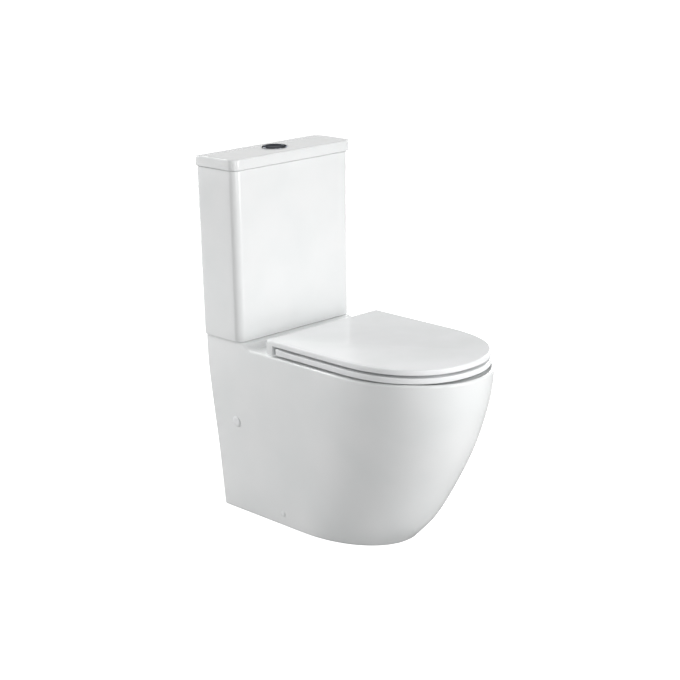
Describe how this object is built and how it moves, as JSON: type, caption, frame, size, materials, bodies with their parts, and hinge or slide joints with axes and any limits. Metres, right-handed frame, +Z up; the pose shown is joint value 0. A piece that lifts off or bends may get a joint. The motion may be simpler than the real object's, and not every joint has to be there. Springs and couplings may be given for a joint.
{
  "type": "close coupled toilet",
  "caption": "Floor standing toilet: skirted back-to-wall pan, slim tank with dual flush button in its lid, slim seat ring and cover that lift on pinned hinges.",
  "frame": {"origin": "middle of the bounding box, on the floor", "axes": "+Z up, +Y towards the wall behind the toilet, +X to the right of someone who faces the toilet"},
  "size_m": [0.366, 0.6832, 0.8525],
  "materials": {
    "vitreous_china": "white gloss glaze",
    "seat_plastic": "white gloss",
    "chrome": "mirror",
    "valve_plastic": "moulded satin",
    "float_plastic": "moulded satin",
    "rubber": "matte",
    "bumper_rubber": "matte",
    "stainless_steel": "brushed",
    "brass": "plain"
  },
  "bodies": {
    "root": {"pan": "vitreous_china", "pan_bowl": "vitreous_china", "pan_trapway": "vitreous_china", "tank": "vitreous_china", "flush_valve_base": "valve_plastic", "flush_valve_cage": "valve_plastic", "flush_valve_backnut": "valve_plastic", "tank_gasket": "rubber", "tank_bolt_left": "brass", "tank_bolt_right": "brass", "tank_bolt_seal_left": "rubber", "tank_bolt_seal_right": "rubber", "tank_bolt_washer_left": "stainless_steel", "tank_bolt_washer_right": "stainless_steel", "tank_bolt_nut_left": "brass", "tank_bolt_nut_right": "brass", "fill_valve_body": "valve_plastic", "fill_valve_washer": "rubber", "fill_valve_backnut": "valve_plastic", "hinge_post_left": "chrome", "hinge_post_right": "chrome", "hinge_pin_left": "stainless_steel", "hinge_pin_right": "stainless_steel", "hinge_nut_left": "valve_plastic", "hinge_nut_right": "valve_plastic", "access_cap_left": "seat_plastic", "access_cap_right": "seat_plastic", "screw_cap_left": "seat_plastic", "screw_cap_right": "seat_plastic", "side_screw_left": "stainless_steel", "side_screw_right": "stainless_steel", "floor_bracket_left": "stainless_steel", "floor_bracket_right": "stainless_steel", "floor_screw_left": "stainless_steel", "floor_screw_right": "stainless_steel"},
    "seat": {"seat_ring": "seat_plastic", "seat_bumper_front_left": "bumper_rubber", "seat_bumper_front_right": "bumper_rubber", "seat_bumper_rear_left": "bumper_rubber", "seat_bumper_rear_right": "bumper_rubber"},
    "cover": {"seat_cover": "seat_plastic", "cover_bumper_left": "bumper_rubber", "cover_bumper_right": "bumper_rubber"},
    "lid": {"tank_lid": "vitreous_china", "flush_button_bezel": "chrome", "flush_button_nut": "valve_plastic"},
    "full_button": {"full_flush_button": "chrome", "full_flush_rod": "valve_plastic"},
    "half_button": {"half_flush_button": "chrome", "half_flush_rod": "valve_plastic"},
    "flush_tube": {"flush_valve_tube": "float_plastic", "flush_valve_seal": "rubber"},
    "fill_float": {"fill_valve_float": "float_plastic"},
    "fill_lever": {"fill_valve_lever": "float_plastic"}
  },
  "joints": [
    {"name": "seat_hinge", "type": "hinge", "parent": "root", "child": "seat", "pos_m": [0, 0.1156, 0.437], "axis": [1, 0, 0], "range_deg": [-95, 0]},
    {"name": "cover_hinge", "type": "hinge", "parent": "seat", "child": "cover", "pos_m": [0, 0.1156, 0.437], "axis": [-1, 0, 0], "range_deg": [0, 98]},
    {"name": "lid_lift", "type": "slide", "parent": "root", "child": "lid", "axis": [0, 0, 1], "range_m": [0, 0.15]},
    {"name": "full_flush_press", "type": "slide", "parent": "lid", "child": "full_button", "axis": [0, 0, -1], "range_m": [0, 0.008], "stiffness_N_per_m": 300, "springref_m": -0.01},
    {"name": "half_flush_press", "type": "slide", "parent": "lid", "child": "half_button", "axis": [0, 0, -1], "range_m": [0, 0.008], "stiffness_N_per_m": 300, "springref_m": -0.01},
    {"name": "flush_valve_lift", "type": "slide", "parent": "root", "child": "flush_tube", "axis": [0, 0, 1], "range_m": [0, 0.016]},
    {"name": "fill_float_rise", "type": "slide", "parent": "root", "child": "fill_float", "axis": [0, 0, 1], "range_m": [0, 0.012]},
    {"name": "fill_lever_tilt", "type": "hinge", "parent": "root", "child": "fill_lever", "pos_m": [0.142, 0.2571, 0.676], "axis": [0, 1, 0], "range_deg": [0, 16.5]}
  ],
  "couplings": [
    {"joint": "flush_valve_lift", "follows": "full_flush_press", "ratio": 2},
    {"joint": "fill_lever_tilt", "follows": "fill_float_rise", "rad_per_m": 23.8}
  ]
}
